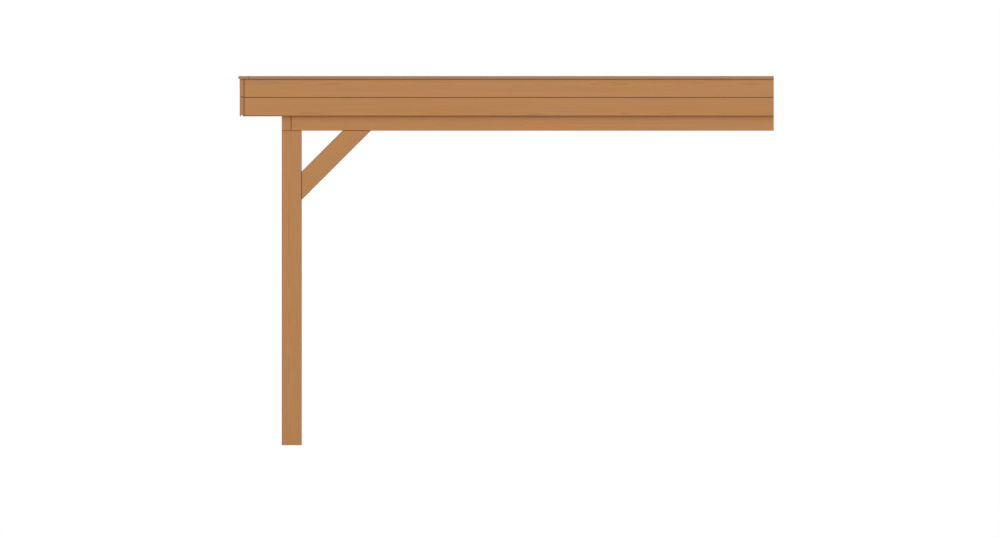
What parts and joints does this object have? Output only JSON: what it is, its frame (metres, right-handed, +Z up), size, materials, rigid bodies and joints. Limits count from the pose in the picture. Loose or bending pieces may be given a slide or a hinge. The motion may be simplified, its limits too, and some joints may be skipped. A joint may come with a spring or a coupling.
{
  "type": "attached patio cover",
  "caption": "Flat-roofed timber patio cover on two front posts with knee braces, its ledger bolted to a house wall.",
  "frame": {"origin": "centre of the wall plate's back face, which bears on the house wall", "axes": "+Y towards the house wall, +X along the wall, to the right as seen from the front, +Z up"},
  "size_m": [4.08, 3.882, 2.6765],
  "materials": {
    "post_timber": "planed, brown preservative stain",
    "beam_timber": "planed, brown preservative stain",
    "roof_timber": "planed, brown preservative stain",
    "fascia_timber": "planed, brown preservative stain",
    "trim_timber": "planed, brown preservative stain, weathered",
    "membrane": "matt synthetic rubber sheet",
    "outlet": "moulded, dark grey"
  },
  "bodies": {
    "root": {"left_post": "post_timber", "right_post": "post_timber", "front_beam": "beam_timber", "left_beam": "beam_timber", "right_beam": "beam_timber", "wall_plate": "beam_timber", "left_side_brace": "beam_timber", "right_side_brace": "beam_timber", "left_front_brace": "beam_timber", "right_front_brace": "beam_timber", "rafter_1": "roof_timber", "rafter_2": "roof_timber", "rafter_3": "roof_timber", "rafter_4": "roof_timber", "rafter_5": "roof_timber", "rafter_6": "roof_timber", "rafter_7": "roof_timber", "firrings": "roof_timber", "roof_deck": "roof_timber", "front_fascia_lower": "fascia_timber", "front_fascia_upper": "fascia_timber", "left_fascia_lower": "fascia_timber", "left_fascia_upper": "fascia_timber", "right_fascia_lower": "fascia_timber", "right_fascia_upper": "fascia_timber", "front_kerb": "roof_timber", "left_kerb": "roof_timber", "right_kerb": "roof_timber", "wall_kerb": "roof_timber", "membrane": "membrane", "roof_outlet": "outlet", "leaf_guard": "outlet", "front_trim": "trim_timber", "left_trim": "trim_timber", "right_trim": "trim_timber"}
  },
  "joints": []
}
